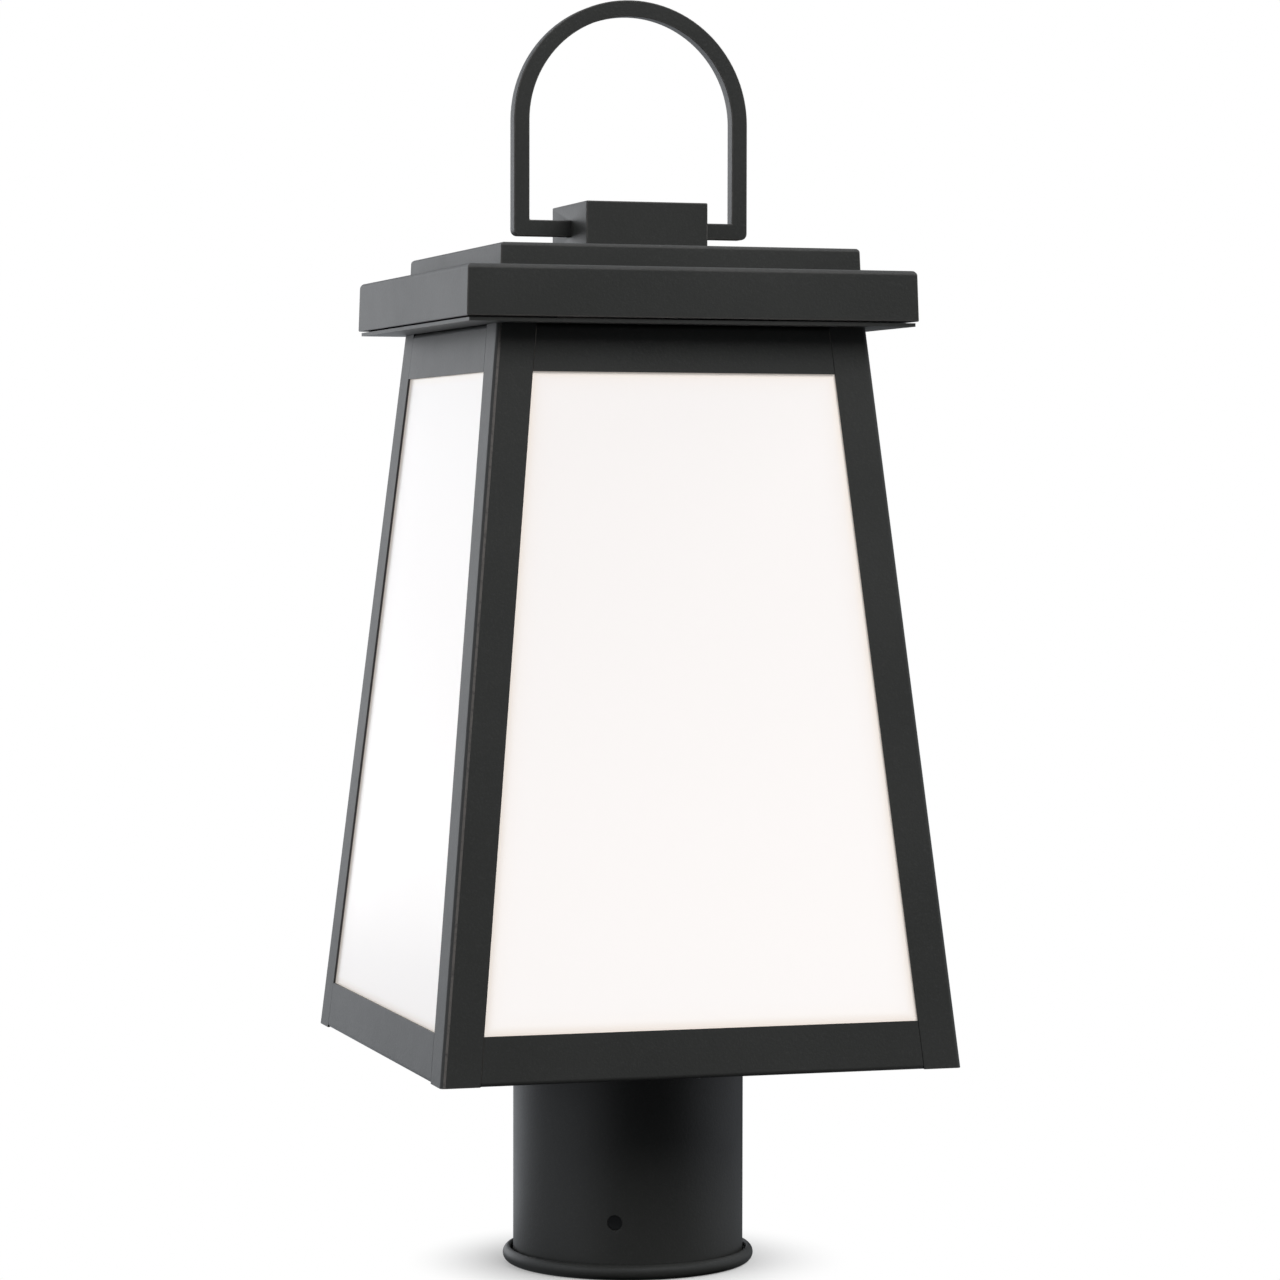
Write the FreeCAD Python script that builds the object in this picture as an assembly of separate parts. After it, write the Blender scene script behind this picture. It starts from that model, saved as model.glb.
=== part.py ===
import FreeCAD, Part
import math
import os

os.makedirs("parts", exist_ok=True)
V = FreeCAD.Vector

# Post top lantern. Millimetres, +Z up, -Y is the front, origin at the bottom centre.

# Post and sleeve
post_dia = 76.2            # outside of the 3 inch post the lantern slips over
post_play = 0.45           # clearance all round between post and sleeve
sleeve_wall = 1.95
sleeve_top_flange = 12.5   # inward flange the pan is bolted to
post_stop = 2.5            # shoulder that the top of the post meets
post_stop_drop = 6.8       # from the top of the sleeve down to that shoulder
curl_rad = 2.8             # outside radius of the rolled rim
curl_end = 58.0            # degrees above level where the roll stops
set_hole_rad = 2.55        # tapped hole for a post set screw
set_hole_height = 19.5
set_hole_turn = 7.0        # first hole, degrees from +X
set_hole_count = 3

# Tapered cage
cage_low = 76.0            # underside of the corner posts
cage_top = 327.0           # top of the corner posts and top rails
half_low = 90.9            # half width over the posts at cage_low
half_top = 65.0            # half width over the posts at cage_top
post_leg = 13.5
sheet = 0.8                # posts and rails
bend = 1.6                 # outside radius of a folded edge
rail_low_tall = 16.4
rail_top_tall = 16.0
flange = 16.0              # fold of each rail towards the inside
mitre_play = 1.2           # clearance at the mitred rail ends
seam_play = 0.15           # clearance between a rail and the posts beside it

# Glass and its clips
glass_thick = 3.0
glass_air = 0.2            # clearance between the frame and the glass
glass_low_air = 0.4        # clearance between glass and bottom flange
glass_top_air = 1.0        # clearance between glass and top flange
glass_side_air = 1.0       # clearance between neighbouring panes
clip_thick = 1.0
clip_wide = 9.0
clip_tall = 12.0
clip_foot = 10.5
clip_air = 0.2             # clearance between clip and glass

# Plates
pan_thick = 1.5
pan_air = 1.5              # clearance between the bottom pan and the glass
soffit_thick = 1.2
soffit_inset = 1.0         # soffit edge inside the lower edge of the skirt
soffit_ledge = 0.8         # soffit opening inside the folds of the top rails

# Small fasteners
small_shank = 1.95         # radius
small_head = 3.5
small_head_tall = 2.2
small_long = 4.5
thread_play = 0.1          # clearance round a shank in its tapped sheet
hole_play = 0.25           # clearance round a shank in a plain hole

# Roof
roof_rest = 0.3            # clearance under the roof feet when the roof is on
skirt_air = 0.5            # clearance between soffit plate and skirt
roof_overhang = 14.0       # lower edge of the skirt beyond the top of the cage
skirt_flare = 0.5          # the top of the skirt is this much narrower each side
skirt_tall = 17.2
step_back = 15.5           # step inside the lower edge of the skirt
step_flare = 0.3
step_tall = 8.0
roof_sheet = 1.2
roof_round = 1.6           # upper edges of the pan
step_round = 1.2
block_side = 43.8
block_tall = 17.2
foot_thick = 1.5
foot_wide = 16.0
foot_fold = 12.0
foot_out = 6.2             # roof screws outside the top of the cage
foot_play = 0.65           # clearance round a roof screw in the roof foot
roof_head_play = 0.1       # clearance round that head in the soffit plate
roof_head = 3.1            # radius of the flush head of a roof screw
roof_screw_long = 6.5

# Carry loop
loop_wide = 85.0
loop_bar = 5.6
loop_leg = 40.3            # underside of the feet up to the start of the round top
loop_corner = 2.0
socket_deep = 8.0
socket_play = 0.1          # clearance round the bar in the block
lock_shank = 1.9           # radius of the headless screws that hold the bar
lock_play = 0.1
bolt_shank = 2.4           # radius of the larger screws
bolt_head = 4.5
bolt_head_tall = 3.2
bolt_place = 12.0
bolt_grip = 9.0

# Sleeve fixing
sleeve_bolt_circle = 31.0
sleeve_bolt_count = 3
nut_flats = 8.0
nut_tall = 4.0
bolt_spare = 1.0

# Lampholder stem
stem_rad = 4.85
stem_bore = 3.5
stem_nut_flats = 14.0
stem_nut_tall = 4.0
stem_washer_rad = 9.0
stem_washer_thick = 1.0
stem_play = 0.2            # clearance round the stem
stem_spare = 1.4
spacer_rad = 6.8
spacer_tall = 11.0

# Lampholder
cup_rad = 22.0
cup_tall = 14.0
cup_wall = 1.2
body_air = 0.3             # clearance between cup and porcelain
body_tall = 50.0
body_floor = 14.0
body_rim_round = 2.0
shell_rad = 14.3
shell_wall = 0.5
shell_tall = 30.0
shell_air = 0.3            # clearance between porcelain and screw shell
shell_hole = 8.0
contact_rad = 3.6
contact_tall = 3.4
contact_sunk = 4.0

# Bulb
base_rad = 13.1
base_tall = 24.0
base_air = 0.6             # clearance between centre contact and bulb tip
tip_rad = 4.8
tip_tall = 3.0
globe_rad = 30.0
globe_tall = 84.0
neck_rad = 12.4

# Earth screw
earth_in = 28.0            # from the edge of the bottom pan
earth_head = 4.2
earth_head_tall = 3.0

# Derived sizes
rise = cage_top - cage_low
lean = (half_low - half_top) / rise
slant = math.sqrt(1.0 + lean * lean)
sheet_plan = sheet * slant
sleeve_in = post_dia / 2.0 + post_play
sleeve_out = sleeve_in + sleeve_wall
rail_low = cage_low
rail_low_up = rail_low + rail_low_tall
rail_top_down = cage_top - rail_top_tall
flange_up = rail_low + sheet
glass_off = sheet_plan + glass_air
glass_in = glass_off + glass_thick * slant
glass_low = flange_up + glass_low_air
glass_high = cage_top - sheet - glass_top_air
pan_low = flange_up
pan_high = pan_low + pan_thick
sleeve_high = pan_low
soffit_high = cage_top + soffit_thick
clip_off = glass_in + clip_air
clip_screw_off = clip_off + 0.57 * clip_foot
small_hole = small_shank + hole_play
small_tap = small_shank + thread_play
skirt_low = soffit_high + skirt_air
skirt_high = skirt_low + skirt_tall
step_high = skirt_high + step_tall
block_high = step_high + block_tall
bar_mid = step_high + 0.5 * block_tall
foot_low = soffit_high + roof_rest
foot_place = half_top + foot_out
skirt_half = half_top + roof_overhang
step_half = skirt_half - step_back
soffit_half = skirt_half - soffit_inset
soffit_hole_half = half_top - flange + soffit_ledge
loop_top = bar_mid - 0.5 * loop_bar + loop_leg + 0.5 * loop_wide
bolt_hole = bolt_shank + hole_play
cup_low = pan_high + stem_washer_thick + stem_nut_tall + spacer_tall
cup_floor = cup_low + cup_wall
body_high = cup_floor + body_tall
body_rad = cup_rad - cup_wall - body_air
shell_low = cup_floor + body_floor
tip_low = shell_low + contact_tall + base_air
base_low = tip_low + tip_tall
base_high = base_low + base_tall
stem_low = pan_low - stem_washer_thick - stem_nut_tall - stem_spare
stem_high = cup_floor + stem_nut_tall + stem_spare

SIDES = ("front", "right", "back", "left")


def half(z):
    return half_low - lean * (z - cage_low)


pan_half = half(pan_high) - glass_in - pan_air
earth_place = pan_half - earth_in


def unit(ax, ay, bx, by):
    length = math.hypot(bx - ax, by - ay)
    return (bx - ax) / length, (by - ay) / length


def corner(p, before, after, r):
    """Start, middle and end of the arc of radius r that rounds corner p."""
    a = unit(*p, *before)
    b = unit(*p, *after)
    turn = math.acos(max(-1.0, min(1.0, a[0] * b[0] + a[1] * b[1])))
    back = r / math.tan(turn / 2.0)
    mx, my = a[0] + b[0], a[1] + b[1]
    reach = (r / math.sin(turn / 2.0) - r) / math.hypot(mx, my)
    return ((p[0] + a[0] * back, p[1] + a[1] * back),
            (p[0] + mx * reach, p[1] + my * reach),
            (p[0] + b[0] * back, p[1] + b[1] * back))


def outline(points, radii, place, flats=False):
    """Closed wire through plane points, corners rounded by arcs or short flats."""
    corners = []
    for i, p in enumerate(points):
        if radii[i] < 0.01:
            corners.append((p,))
        else:
            corners.append(corner(p, points[i - 1], points[(i + 1) % len(points)], radii[i]))
    edges = []
    for i, found in enumerate(corners):
        if len(found) == 3 and flats:
            edges.append(Part.LineSegment(place(*found[0]), place(*found[1])).toShape())
            edges.append(Part.LineSegment(place(*found[1]), place(*found[2])).toShape())
        elif len(found) == 3:
            edges.append(Part.Arc(*[place(*q) for q in found]).toShape())
        end, start = found[-1], corners[(i + 1) % len(corners)][0]
        if math.dist(start, end) > 1e-6:
            edges.append(Part.LineSegment(place(*end), place(*start)).toShape())
    return Part.Wire(edges)


def folded(points, thick):
    """Outline of a folded sheet that lies thick to the left of its path."""
    inner = []
    last = len(points) - 1
    for i, p in enumerate(points):
        before = points[max(i - 1, 0)]
        after = points[min(i + 1, last)]
        d1 = unit(*before, *p) if i > 0 else unit(*p, *after)
        d2 = unit(*p, *after) if i < last else d1
        nx, ny = -d1[1] - d2[1], d1[0] + d2[0]
        share = thick / (1.0 + d1[0] * d2[0] + d1[1] * d2[1])
        inner.append((p[0] + nx * share, p[1] + ny * share))
    return points + inner[::-1]


def in_plan(z):
    return lambda a, b: V(a, b, z)


def in_side(x):
    return lambda a, b: V(x, a, b)


def in_front(y):
    return lambda a, b: V(a, y, b)


def prism(points, radii, place, along):
    return Part.Face(outline(points, radii, place)).extrude(along)


def sharp(points, place, along):
    return prism(points, [0.0] * len(points), place, along)


def rod(rad, low, high, x=0.0, y=0.0):
    return Part.makeCylinder(rad, high - low, V(x, y, low))


def ring(rad_out, rad_in, low, high):
    return rod(rad_out, low, high).cut(rod(rad_in, low - 1.0, high + 1.0))


def hexagon(flats, low, high, x=0.0, y=0.0):
    reach = flats / math.sqrt(3.0)
    points = []
    for k in range(6):
        angle = math.radians(60.0 * k)
        points.append((x + reach * math.cos(angle), y + reach * math.sin(angle)))
    return sharp(points, in_plan(low), V(0, 0, high - low))


def turned(shape, quarter):
    copy = shape.copy()
    copy.rotate(V(0, 0, 0), V(0, 0, 1), 90.0 * quarter)
    return copy


def frustum(half_a, low, half_b, high, round_up):
    """Square block whose sides lean, its upper edges rounded."""
    signs = ((-1, -1), (1, -1), (1, 1), (-1, 1))
    a = [V(x * half_a, y * half_a, low) for x, y in signs]
    b = [V(x * half_b, y * half_b, high) for x, y in signs]
    loops = [a[::-1], b]
    for i in range(4):
        j = (i + 1) % 4
        loops.append([a[i], a[j], b[j], b[i]])
    faces = [Part.Face(Part.makePolygon(loop + [loop[0]])) for loop in loops]
    body = Part.makeSolid(Part.makeShell(faces))
    if round_up > 0.01:
        picked = [e for e in body.Edges if e.BoundBox.ZMin > high - 0.01]
        body = body.makeFillet(round_up, picked)
    return body


def screw(shank, head, head_tall, long, seat, down, x, y):
    """Low headed screw; the head sits on seat, the shank points down or up."""
    way = -1.0 if down else 1.0
    end = seat + way * long
    body = rod(shank, min(seat, end), max(seat, end), x, y)
    top = seat - way * head_tall
    cap = rod(head, min(seat, top), max(seat, top), x, y)
    return body.fuse(cap).removeSplitter()


def corner_post():
    points = folded([(half_low, half_low - post_leg), (half_low, half_low),
                     (half_low - post_leg, half_low)], sheet_plan)
    radii = [0.0, bend, 0.0, 0.0, bend - sheet, 0.0]
    run = lean * rise
    return prism(points, radii, in_plan(cage_low), V(-run, -run, rise))


def off(z, depth):
    return -(half(z) - depth)


def mitred(shape):
    """Keep the part of a front rail that lies between the two corner planes."""
    far = half_low + 30.0
    wedge = sharp([(0.0, -mitre_play), (-far, -far - mitre_play), (far, -far - mitre_play)],
                  in_plan(0.0), V(0, 0, skirt_high))
    return shape.common(wedge)


def clip_hole(low, high, rad, z):
    return rod(rad, low, high, 0.0, off(z, clip_screw_off))


def beside_post():
    """What a corner post fills, with the clearance that the rails keep from it."""
    spare = 10.0
    low = cage_low - spare
    out = half(low) + spare
    edge = half(low) - post_leg - seam_play
    back = half(low) - sheet_plan - seam_play
    run = lean * (rise + 2.0 * spare)
    return sharp([(out, edge), (out, out), (edge, out), (edge, back), (back, back), (back, edge)],
                 in_plan(low), V(-run, -run, rise + 2.0 * spare))


def rail(z, z_strip, hole):
    """Front rail: a strip flush between the post legs, one edge folded inwards at z."""
    outer = off(z, 0.0)
    path = [(outer + flange, z), (outer, z), (off(z_strip, 0.0), z_strip)]
    thick = sheet if z_strip < z else -sheet
    far = half_low + 20.0
    body = mitred(prism(folded(path, thick), [0.0, bend, 0.0, 0.0, bend - sheet, 0.0],
                        in_side(-far), V(2.0 * far, 0, 0)))
    for quarter in (2, 3):
        body = body.cut(turned(beside_post(), quarter))
    return body.cut(hole)


def bottom_rail():
    return rail(rail_low, rail_low_up,
                clip_hole(rail_low - 1.0, flange_up + 1.0, small_tap, pan_high))


def top_rail():
    seat = cage_top - sheet
    return rail(cage_top, rail_top_down, clip_hole(seat - 1.0, cage_top + 1.0, small_tap, seat))


def pane():
    points = [(off(glass_low, glass_off), glass_low), (off(glass_low, glass_in), glass_low),
              (off(glass_high, glass_in), glass_high), (off(glass_high, glass_off), glass_high)]
    far = half_low + 20.0
    slab = sharp(points, in_side(-far), V(2.0 * far, 0, 0))
    side = glass_in + glass_side_air
    edge = [(-half(glass_low) + side, glass_low), (half(glass_low) - side, glass_low),
            (half(glass_high) - side, glass_high), (-half(glass_high) + side, glass_high)]
    return slab.common(sharp(edge, in_front(-far), V(0, far, 0)))


def clip(low_one):
    z = pan_high if low_one else cage_top - sheet
    reach = clip_tall if low_one else -clip_tall
    corner = off(z, clip_off)
    tip = (off(z + reach, clip_off), z + reach)
    path = [tip, (corner, z), (corner + clip_foot, z)]
    points = folded(path, clip_thick if low_one else -clip_thick)
    body = prism(points, [0.0, 1.6, 0.0, 0.0, 0.6, 0.0], in_side(-0.5 * clip_wide),
                 V(clip_wide, 0, 0))
    y = off(z, clip_screw_off)
    return body.cut(rod(small_hole, z - 3.0, z + 3.0, 0.0, y))


def clip_group(low_one):
    return [turned(clip(low_one), quarter) for quarter in range(4)]


def clip_screw_group():
    found = []
    top_seat = cage_top - sheet
    for quarter in range(4):
        for z, seat, down in ((pan_high, pan_high + clip_thick, True),
                              (top_seat, top_seat - clip_thick, False)):
            one = screw(small_shank, small_head, small_head_tall, small_long, seat, down,
                        0.0, off(z, clip_screw_off))
            found.append(turned(one, quarter))
    return found


def sink(rad, rad_in, seat, y):
    """Cone at 45 degrees that narrows upwards from rad at the seat to rad_in."""
    below = 1.0
    return Part.makeCone(rad + below, rad_in, rad + below - rad_in, V(0.0, y, seat - below))


def square_plate(half_side, low, high):
    return Part.makeBox(2.0 * half_side, 2.0 * half_side, high - low, V(-half_side, -half_side, low))


def sleeve_bolt_places():
    found = []
    for k in range(sleeve_bolt_count):
        angle = math.radians(90.0 + 360.0 * k / sleeve_bolt_count)
        found.append((sleeve_bolt_circle * math.cos(angle), sleeve_bolt_circle * math.sin(angle)))
    return found


def bottom_pan():
    body = square_plate(pan_half, pan_low, pan_high)
    for quarter in range(4):
        hole = clip_hole(pan_low - 1.0, pan_high + 1.0, small_hole, pan_high)
        body = body.cut(turned(hole, quarter))
    for x, y in sleeve_bolt_places():
        body = body.cut(rod(bolt_hole, pan_low - 1.0, pan_high + 1.0, x, y))
    body = body.cut(rod(stem_rad + stem_play, pan_low - 1.0, pan_high + 1.0))
    return body.cut(rod(small_tap, pan_low - 1.0, pan_high + 1.0, 0.0, earth_place))


def soffit_plate():
    body = square_plate(soffit_half, cage_top, soffit_high)
    body = body.cut(square_plate(soffit_hole_half, cage_top - 1.0, soffit_high + 1.0))
    for quarter in range(4):
        hole = clip_hole(cage_top - 1.0, soffit_high + 1.0, small_hole, cage_top - sheet)
        body = body.cut(turned(hole, quarter))
    for side in (-1, 1):
        y = side * foot_place
        body = body.cut(rod(small_hole, cage_top - 1.0, soffit_high + 1.0, 0.0, y))
        body = body.cut(sink(roof_head + roof_head_play, small_hole, cage_top, y))
    return body


def arc_points(x, z, rad, start, end, count):
    """Points along an arc in the radius and height plane, angles in degrees."""
    found = []
    for k in range(count + 1):
        angle = math.radians(start + (end - start) * k / count)
        found.append((x + rad * math.cos(angle), z + rad * math.sin(angle)))
    return found


def post_sleeve():
    """Spun sleeve: inward flange at the top, rolled rim at the foot."""
    middle = sleeve_in + curl_rad
    inner_rad = curl_rad - sleeve_wall
    stop = sleeve_high - post_stop_drop
    under = sleeve_high - pan_thick
    points = [(sleeve_in, curl_rad), (sleeve_in, stop), (sleeve_in - post_stop, stop),
              (sleeve_in - post_stop, under), (sleeve_in - sleeve_top_flange, under),
              (sleeve_in - sleeve_top_flange, sleeve_high), (sleeve_out, sleeve_high)]
    points += arc_points(middle, curl_rad, inner_rad, -180.0, curl_end, 5)
    turn = curl_end + 90.0
    points += arc_points(middle, curl_rad, curl_rad, curl_end, -90.0 - 0.5 * turn, 9)
    radii = [0.0] * len(points)
    radii[6] = 2.0
    body = turned_profile(points, radii)
    for k in range(set_hole_count):
        angle = math.radians(set_hole_turn + 360.0 * k / set_hole_count)
        way = V(math.cos(angle), math.sin(angle), 0)
        start = way * (sleeve_in - 5.0)
        start.z = set_hole_height
        body = body.cut(Part.makeCylinder(set_hole_rad, 10.0, start, way))
    for x, y in sleeve_bolt_places():
        body = body.cut(rod(bolt_hole, under - 1.0, sleeve_high + 1.0, x, y))
    return body


def hollow(half_a, low, half_b, high, round_up):
    outer = frustum(half_a, low, half_b, high, round_up)
    ratio = (half_a - half_b) / (high - low)
    inner_top = high - roof_sheet
    inner = frustum(half_a - roof_sheet + ratio, low - 1.0,
                    half_a - roof_sheet - ratio * (inner_top - low), inner_top, 0.0)
    return outer.cut(inner)


def block_bolt_places():
    return [(0.0, -bolt_place), (0.0, bolt_place)]


def roof_pan():
    body = hollow(skirt_half, skirt_low, skirt_half - skirt_flare, skirt_high, roof_round)
    for x, y in block_bolt_places():
        body = body.cut(rod(bolt_hole, skirt_high - 5.0, skirt_high + 1.0, x, y))
    return body


def roof_step():
    body = hollow(step_half, skirt_high, step_half - step_flare, step_high, step_round)
    for x, y in block_bolt_places():
        body = body.cut(rod(bolt_hole, step_high - 5.0, step_high + 1.0, x, y))
    return body


def lock_places():
    x = 0.5 * block_side - 0.5 * socket_deep
    return [(-x, 0.0), (x, 0.0)]


def loop_block():
    s = 0.5 * block_side
    body = Part.makeBox(block_side, block_side, block_tall, V(-s, -s, step_high))
    hole = loop_bar + 2.0 * socket_play
    for side in (-1, 1):
        start = min(side * s, side * (s - socket_deep - socket_play))
        body = body.cut(Part.makeBox(socket_deep + socket_play, hole, hole,
                                     V(start, -0.5 * hole, bar_mid - 0.5 * hole)))
    for x, y in lock_places():
        body = body.cut(rod(lock_shank + lock_play, step_high - 1.0, bar_mid, x, y))
    for x, y in block_bolt_places():
        body = body.cut(rod(bolt_shank + thread_play, step_high - 1.0, step_high + bolt_grip + 1.0, x, y))
    return body


def carry_loop():
    """Square bar: two short feet, two legs and a half round top, in one piece."""
    out = 0.5 * loop_wide
    inn = out - loop_bar
    low = bar_mid - 0.5 * loop_bar
    high = low + loop_bar
    spring = loop_top - out
    foot = 0.5 * block_side - socket_deep
    y = -0.5 * loop_bar
    c = loop_corner
    q = c * (1.0 - math.sqrt(0.5))

    def at(x, z):
        return V(x, y, z)

    edges = [
        Part.LineSegment(at(-foot, low), at(-out + c, low)).toShape(),
        Part.Arc(at(-out + c, low), at(-out + q, low + q), at(-out, low + c)).toShape(),
        Part.LineSegment(at(-out, low + c), at(-out, spring)).toShape(),
        Part.Arc(at(-out, spring), at(0, loop_top), at(out, spring)).toShape(),
        Part.LineSegment(at(out, spring), at(out, low + c)).toShape(),
        Part.Arc(at(out, low + c), at(out - q, low + q), at(out - c, low)).toShape(),
        Part.LineSegment(at(out - c, low), at(foot, low)).toShape(),
        Part.LineSegment(at(foot, low), at(foot, high)).toShape(),
        Part.LineSegment(at(foot, high), at(inn, high)).toShape(),
        Part.LineSegment(at(inn, high), at(inn, spring)).toShape(),
        Part.Arc(at(inn, spring), at(0, loop_top - loop_bar), at(-inn, spring)).toShape(),
        Part.LineSegment(at(-inn, spring), at(-inn, high)).toShape(),
        Part.LineSegment(at(-inn, high), at(-foot, high)).toShape(),
        Part.LineSegment(at(-foot, high), at(-foot, low)).toShape(),
    ]
    return Part.Face(Part.Wire(edges)).extrude(V(0, loop_bar, 0))


def lock_screws():
    high = bar_mid - 0.5 * loop_bar
    return [rod(lock_shank, step_high + 0.4, high, x, y) for x, y in lock_places()]


def block_bolts():
    seat = skirt_high - roof_sheet
    long = step_high + bolt_grip - seat
    return [screw(bolt_shank, bolt_head, bolt_head_tall, long, seat, False, x, y)
            for x, y in block_bolt_places()]


def roof_foot():
    """Folded foot under the roof top; its lower leg takes one roof screw."""
    web = foot_place - small_head - 1.6
    tip = foot_place + small_head + 1.0
    top = skirt_high - roof_sheet
    thick = foot_thick
    outer = thick + 0.5
    points = [(-tip, foot_low), (-web + thick, foot_low), (-web + thick, top - thick),
              (-web + foot_fold, top - thick), (-web + foot_fold, top), (-web, top),
              (-web, foot_low + thick), (-tip, foot_low + thick)]
    radii = [0.0, outer, 0.5, 0.0, 0.0, outer, 0.5, 0.0]
    body = prism(points, radii, in_side(-0.5 * foot_wide), V(foot_wide, 0, 0))
    return body.cut(rod(small_shank + foot_play, foot_low - 1.0, foot_low + thick + 1.0,
                        0.0, -foot_place))


def roof_screws():
    """Flat headed screws, flush with the underside of the soffit plate."""
    found = []
    for side in (-1, 1):
        y = side * foot_place
        body = rod(small_shank, cage_top, cage_top + roof_screw_long, 0.0, y)
        cone = sink(roof_head, 0.5 * small_shank, cage_top, y)
        head = cone.common(rod(2.0 * roof_head, cage_top, cage_top + roof_screw_long, 0.0, y))
        found.append(body.fuse(head).removeSplitter())
    return found


def sleeve_bolts():
    low = sleeve_high - pan_thick - nut_tall - bolt_spare
    return [screw(bolt_shank, bolt_head, bolt_head_tall, pan_high - low, pan_high, True, x, y)
            for x, y in sleeve_bolt_places()]


def sleeve_nuts():
    high = sleeve_high - pan_thick
    found = []
    for x, y in sleeve_bolt_places():
        nut = hexagon(nut_flats, high - nut_tall, high, x, y)
        found.append(nut.cut(rod(bolt_shank + thread_play, high - nut_tall - 1.0, high + 1.0, x, y)))
    return found


def stem():
    return ring(stem_rad, stem_bore, stem_low, stem_high)


def stem_nuts():
    lows = [pan_low - stem_washer_thick - stem_nut_tall, pan_high + stem_washer_thick, cup_floor]
    found = []
    for low in lows:
        nut = hexagon(stem_nut_flats, low, low + stem_nut_tall)
        found.append(nut.cut(rod(stem_rad + thread_play, low - 1.0, low + stem_nut_tall + 1.0)))
    return found


def stem_washers():
    lows = [pan_low - stem_washer_thick, pan_high]
    return [ring(stem_washer_rad, stem_rad + stem_play, low, low + stem_washer_thick) for low in lows]


def stem_spacer():
    low = pan_high + stem_washer_thick + stem_nut_tall
    return ring(spacer_rad, stem_rad + stem_play, low, cup_low)


def turned_profile(points, radii):
    face = Part.Face(outline(points, radii, in_front(0.0), True))
    return face.revolve(V(0, 0, 0), V(0, 0, 1), 360.0)


def holder_cup():
    inner = stem_rad + stem_play
    points = [(inner, cup_low), (cup_rad, cup_low), (cup_rad, cup_low + cup_tall),
              (cup_rad - cup_wall, cup_low + cup_tall), (cup_rad - cup_wall, cup_floor),
              (inner, cup_floor)]
    return turned_profile(points, [0.0, 3.0, 0.0, 0.0, 1.8, 0.0])


def holder_body():
    well = stem_nut_flats / math.sqrt(3.0) + 1.5
    lip = shell_rad + shell_air
    low = cup_floor
    pocket = low + stem_nut_tall + stem_spare + 1.0
    points = [(well, low), (body_rad - 2.5, low), (body_rad, low + 2.5), (body_rad, body_high),
              (lip, body_high), (lip, shell_low), (contact_rad + 0.3, shell_low),
              (contact_rad + 0.3, pocket), (well, pocket)]
    return turned_profile(points, [0.0, 0.0, 0.0, body_rim_round, 1.0, 0.0, 0.0, 0.0, 0.0])


def screw_shell():
    low = shell_low
    points = [(shell_hole, low), (shell_rad, low), (shell_rad, low + shell_tall),
              (shell_rad - shell_wall, low + shell_tall), (shell_rad - shell_wall, low + shell_wall),
              (shell_hole, low + shell_wall)]
    return turned_profile(points, [0.0, 1.0, 0.0, 0.0, 0.5, 0.0])


def centre_contact():
    low = shell_low - contact_sunk
    high = shell_low + contact_tall
    return turned_profile([(0.0, low), (contact_rad, low), (contact_rad, high), (0.0, high)],
                          [0.0, 0.0, 0.8, 0.0])


def bulb_base():
    points = [(0.0, tip_low), (tip_rad, tip_low), (base_rad - 1.0, base_low), (base_rad, base_low + 1.0),
              (base_rad, base_high), (0.0, base_high)]
    return turned_profile(points, [0.0, 1.0, 0.0, 0.0, 0.6, 0.0])


def bulb_globe():
    """Pear shaped frosted glass on the cap."""
    low = base_high
    centre = low + globe_tall - globe_rad
    join = -36.0
    ball = arc_points(0.0, centre, globe_rad, join, 90.0, 7)
    reach, up = ball[0][0] - neck_rad, ball[0][1] - low
    points = [(0.0, low), (neck_rad, low), (neck_rad + 0.18 * reach, low + 0.5 * up)]
    return turned_profile(points + ball, [0.0] * (len(points) + len(ball)))


def earth_screw():
    return screw(small_shank, earth_head, earth_head_tall, small_long, pan_high, True, 0.0, earth_place)


def save(name, shapes):
    if not isinstance(shapes, list):
        shapes = [shapes]
    solids = []
    for shape in shapes:
        solids.extend(shape.Solids)
    for solid in solids:
        if not solid.isValid() or solid.Volume <= 0.0:
            raise ValueError("bad solid in " + name)
    whole = solids[0] if len(solids) == 1 else Part.makeCompound(solids)
    whole.exportStep(os.path.join("parts", name + ".step"))
    box = whole.BoundBox
    print("%-24s %2d solids, top at %7.2f" % (name, len(solids), box.ZMax))


def build():
    save("post_sleeve", post_sleeve())
    save("bottom_pan", bottom_pan())
    save("sleeve_bolts", sleeve_bolts())
    save("sleeve_nuts", sleeve_nuts())
    post = corner_post()
    for quarter, name in enumerate(("back_right", "back_left", "front_left", "front_right")):
        save("corner_post_" + name, turned(post, quarter))
    for quarter, name in enumerate(SIDES):
        save("bottom_rail_" + name, turned(bottom_rail(), quarter))
        save("top_rail_" + name, turned(top_rail(), quarter))
        save("glass_" + name, turned(pane(), quarter))
    save("glass_clips_low", clip_group(True))
    save("glass_clips_top", clip_group(False))
    save("clip_screws", clip_screw_group())
    save("soffit_plate", soffit_plate())
    save("roof_screws", roof_screws())
    save("roof_feet", [roof_foot(), turned(roof_foot(), 2)])
    save("roof_pan", roof_pan())
    save("roof_step", roof_step())
    save("loop_block", loop_block())
    save("block_bolts", block_bolts())
    save("carry_loop", carry_loop())
    save("loop_lock_screws", lock_screws())
    save("stem_pipe", stem())
    save("stem_nuts", stem_nuts())
    save("stem_washers", stem_washers())
    save("stem_spacer", stem_spacer())
    save("holder_cup", holder_cup())
    save("holder_body", holder_body())
    save("screw_shell", screw_shell())
    save("centre_contact", centre_contact())
    save("bulb_base", bulb_base())
    save("bulb_globe", bulb_globe())
    save("earth_screw", earth_screw())


build()
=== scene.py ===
import math

import bmesh
import bpy
from mathutils import Matrix, Vector


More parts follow.
